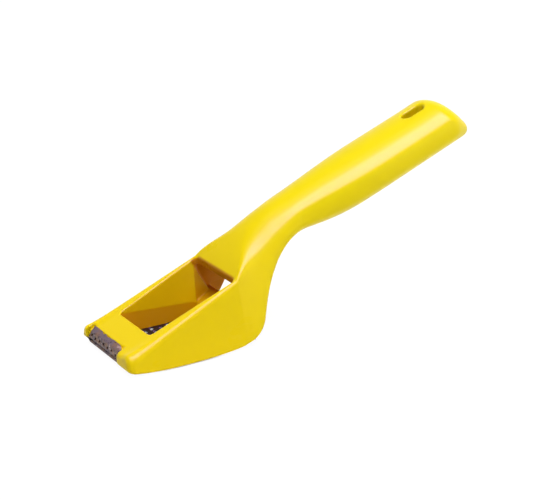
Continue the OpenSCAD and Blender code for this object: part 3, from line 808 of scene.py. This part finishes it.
print("blade")
parts = [toothedSheet(), hookPlate(), flangePlate()]
starts = np.cumsum([0] + [len(points) for points, faces in parts])
bladePiece = makePiece("bladeSheet", np.vstack([points for points, faces in parts]),
                       np.vstack([faces + start for (points, faces), start in zip(parts, starts)]), steel)
joined = bmesh.new()
joined.from_mesh(bladePiece.data)
bmesh.ops.remove_doubles(joined, verts=joined.verts, dist=0.02*mm)
bmesh.ops.recalc_face_normals(joined, faces=joined.faces)
joined.to_mesh(bladePiece.data)
joined.free()
wall = bladePiece.modifiers.new("thickness", "SOLIDIFY")
wall.thickness = blade["thickness"]*mm
wall.offset = 0.0
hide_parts("blade")
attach(bladePiece, "blade")

for name in ("screw", "washer", "nut"):
    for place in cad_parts[name].material_slots:
        place.material = plated


# Floor, lamps and camera
print("stage")
plainWhite = (1.0, 1.0, 1.0)
stage = {
    "floorSize": 6.0, "white": (0.75, 0.75, 0.75), "glow": 1.1, "ambient": 0.10,
    "shadowKept": 0.12, "contact": 0.002, "contactLimits": (0.1, 0.5),    # and the shade right under the object
    "aim": (0.03, 0.0, 0.04),      # where the lamps point
}


def paleFloor(look):
    # a pale floor that the camera sees nearly white, with part of the object's shadow kept
    finish = principled("pale floor", **{
        "Base Color": look["white"], "Roughness": 0.9, "Specular IOR Level": 0.0})
    glow = finish.add("ShaderNodeEmission", None, {"Color": plainWhite, "Strength": look["glow"]})
    lit = Signal(finish, finish.shader.outputs[0])
    clear = finish.add("ShaderNodeAmbientOcclusion", {"samples": 8}, {"Distance": look["contact"]}, output=1)
    glowing = finish.shown()*clear.between(*look["contactLimits"])*(1.0 - look["shadowKept"])
    seen = finish.add("ShaderNodeMixShader", None, {0: glowing, 1: lit, 2: glow})
    finish.link(finish.tree.nodes["Material Output"], {"Surface": seen})
    return finish.owner


half = stage["floorSize"]/2
floorMesh = bpy.data.meshes.new("floor")
floorMesh.from_pydata([(-half, -half, 0), (half, -half, 0), (half, half, 0), (-half, half, 0)], [],
                      [(0, 1, 2, 3)])
floorMesh.materials.append(paleFloor(stage))
floor = bpy.data.objects.new("floor", floorMesh)
bpy.context.collection.objects.link(floor)

lamps = {
    # name: (direction, distance, width, depth, power, colour, what it lights: all, the soft light or the gloss)
    "key": ((-0.05, -0.16, 0.985), 2.5, 1.7, 2.2, 70.0, plainWhite, "soft"),
    "gleam": ((0.10, -0.47, 0.88), 0.9, 0.60, 0.66, 44.0, (0.72, 0.32, 1.0), "gloss"),
    "side": ((0.65, -0.72, 0.22), 0.42, 0.3, 0.3, 0.42, plainWhite, "all"),
}
for name, (direction, distance, width, depth, power, colour, lights) in lamps.items():
    light = bpy.data.lights.new(name, "AREA")
    light.shape, light.size, light.size_y, light.energy = "RECTANGLE", width, depth, power
    light.color = colour
    lamp = bpy.data.objects.new(name, light)
    away = Vector(direction).normalized()
    lamp.location = Vector(stage["aim"]) + away*distance
    lamp.rotation_mode = "QUATERNION"
    lamp.rotation_quaternion = away.to_track_quat("Z", "Y")
    lamp.visible_diffuse = lights != "gloss"
    lamp.visible_glossy = lights != "soft"
    bpy.context.collection.objects.link(lamp)


def paleWorld(ambient):
    # soft light from all round, and a white background for what the camera sees
    finish = Finish(bpy.data.worlds.new("studio"), "Background", {"Color": plainWhite})
    finish.link(finish.shader, {"Strength": finish.shown()*(1.0 - ambient) + ambient})
    bpy.context.scene.world = finish.owner


paleWorld(stage["ambient"])

view = {
    "azimuth": -32.42, "elevation": 20.61, "focal": 1500.0, "frame": (550.0, 500.0),   # degrees and pixels
    "nosePixel": (106.78, 353.41), "distance": 602.19,   # the middle of the nose's lower edge, depth in mm
    "sensor": 36.0,
}


def placeCamera(look):
    # the camera stands so that the nose's lower edge falls on its pixel, at its depth
    a, e = math.radians(look["azimuth"]), math.radians(look["elevation"])
    right = np.array([math.cos(a), math.sin(a), 0.0])
    back = np.array([math.sin(a)*math.cos(e), -math.cos(a)*math.cos(e), math.sin(e)])
    up = np.cross(back, right)
    u = (look["nosePixel"][0] - look["frame"][0]/2)/look["focal"]*look["distance"]
    v = (look["frame"][1]/2 - look["nosePixel"][1])/look["focal"]*look["distance"]
    spot = -(right*u + up*v - back*look["distance"])
    camera = bpy.data.cameras.new("view")
    camera.sensor_width = look["sensor"]
    camera.lens = look["focal"]/look["frame"][0]*camera.sensor_width
    holder = bpy.data.objects.new("view", camera)
    holder.location = toFrame(spot).tolist()
    holder.rotation_mode = "QUATERNION"
    holder.rotation_quaternion = Vector(back.tolist()).to_track_quat("Z", "Y")
    bpy.context.collection.objects.link(holder)
    bpy.context.scene.camera = holder


placeCamera(view)
bpy.context.scene.view_settings.view_transform = "Standard"

print("done")
